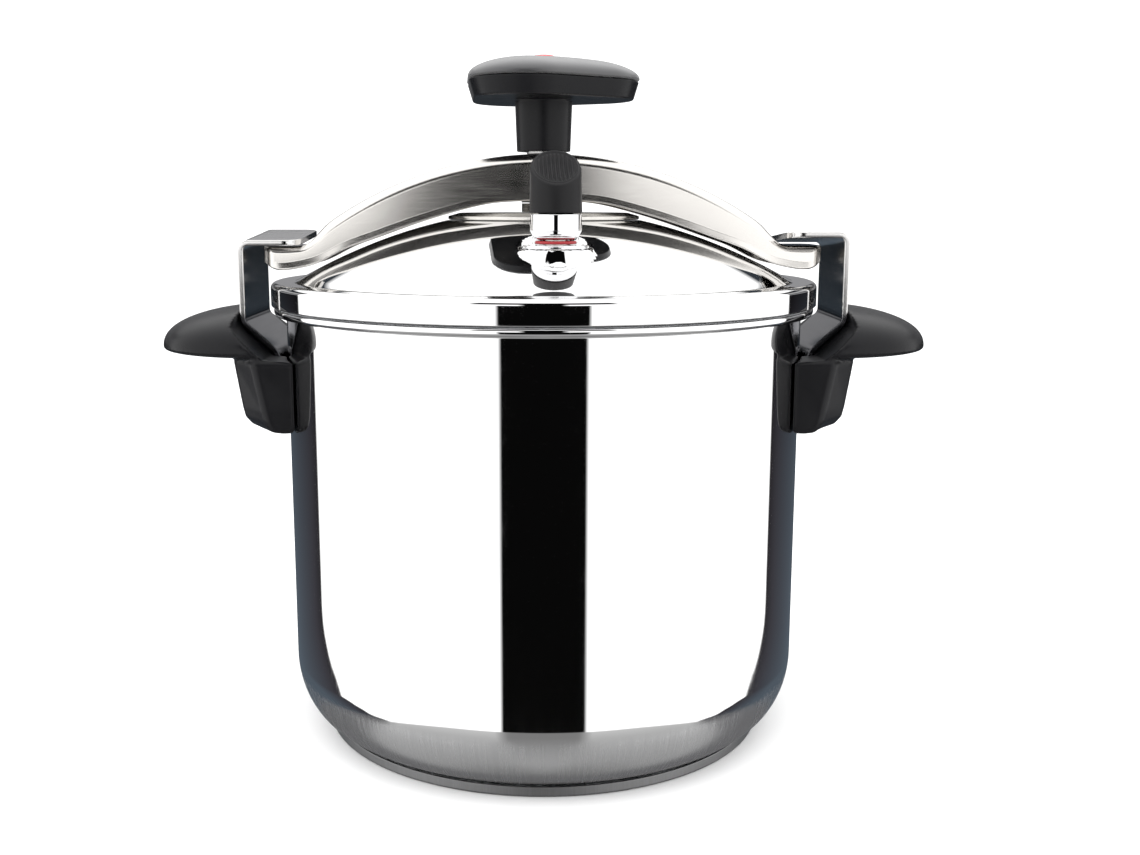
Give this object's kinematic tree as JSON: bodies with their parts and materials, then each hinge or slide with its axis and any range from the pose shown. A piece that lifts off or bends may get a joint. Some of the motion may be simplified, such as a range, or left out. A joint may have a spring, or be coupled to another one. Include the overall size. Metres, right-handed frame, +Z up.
{
  "type": "stovetop pressure cooker",
  "caption": "Tall round steel pressure cooker with a domed lid held by a screw-down yoke, black side handles, a three-lobed knob, a regulator and a safety valve.",
  "frame": {"origin": "centre of the base's underside, where it rests on the stove", "axes": "+Z up along the pot's axis, handles along X, regulator valve on the -Y side; the lid rests turned 3.6 degrees and the yoke 1.8 degrees about +Z, where the yoke grips"},
  "size_m": [0.3304, 0.2342, 0.29],
  "materials": {
    "polished_steel": "mirror polished stainless steel",
    "satin_steel": "satin stainless steel",
    "aluminium": "plain",
    "chrome": "bright",
    "brass": "turned",
    "bakelite": "fine matte black moulding",
    "badge_red": "gloss",
    "red_silicone": "soft",
    "grey_silicone": "soft"
  },
  "bodies": {
    "pot": {"pot_body": "polished_steel", "base_cap": "satin_steel", "base_core": "aluminium", "bracket_left": "satin_steel", "bracket_right": "satin_steel", "handle_left": "bakelite", "handle_right": "bakelite", "handle_stud_left": "satin_steel", "handle_stud_right": "satin_steel", "handle_nut_left": "chrome", "handle_nut_right": "chrome"},
    "lid": {"lid": "polished_steel", "lid_gasket": "grey_silicone", "pressure_disc": "satin_steel", "spindle_seat": "satin_steel", "seat_retaining_ring": "satin_steel", "vent_pipe": "satin_steel", "vent_flange": "chrome", "vent_seal_ring": "red_silicone", "vent_nut": "satin_steel", "safety_valve_body": "chrome", "safety_valve_nut": "satin_steel", "safety_valve_cap": "chrome", "safety_valve_spring": "satin_steel"},
    "yoke": {"yoke": "satin_steel", "yoke_nut": "satin_steel"},
    "knob": {"knob_body": "bakelite", "knob_cover": "bakelite", "knob_badge": "badge_red", "knob_screw": "chrome", "spindle": "satin_steel"},
    "valve_plunger": {"valve_plunger": "satin_steel"},
    "valve_head": {"valve_weight": "chrome", "valve_cap": "bakelite"},
    "safety_pin": {"safety_valve_pin": "brass"}
  },
  "joints": [
    {"name": "lid_turn", "type": "hinge", "parent": "pot", "child": "lid", "pos_m": [0, 0, 0.19], "axis": [0, 0, 1], "range_deg": [-90, 0]},
    {"name": "knob_turn", "type": "hinge", "parent": "lid", "child": "knob", "pos_m": [0, 0, 0.25], "axis": [0, 0, 1], "range_deg": [0, 216]},
    {"name": "yoke_drop", "type": "slide", "parent": "lid", "child": "yoke", "axis": [0, 0, 1], "range_m": [-0.00121, 0]},
    {"name": "valve_lift", "type": "slide", "parent": "lid", "child": "valve_plunger", "axis": [0, 0, 1], "range_m": [0, 0.006]},
    {"name": "valve_spin", "type": "hinge", "parent": "valve_plunger", "child": "valve_head", "pos_m": [0.00458, -0.07286, 0.22], "axis": [0, 0, 1], "continuous": true},
    {"name": "safety_pin_lift", "type": "slide", "parent": "lid", "child": "safety_pin", "axis": [0, 0, 1], "range_m": [0, 0.003], "stiffness_N_per_m": 1500, "springref_m": -0.001, "deforming": ["safety_valve_spring"]}
  ],
  "couplings": [
    {"joint": "yoke_drop", "follows": "knob_turn", "m_per_rad": -0.00031831}
  ]
}
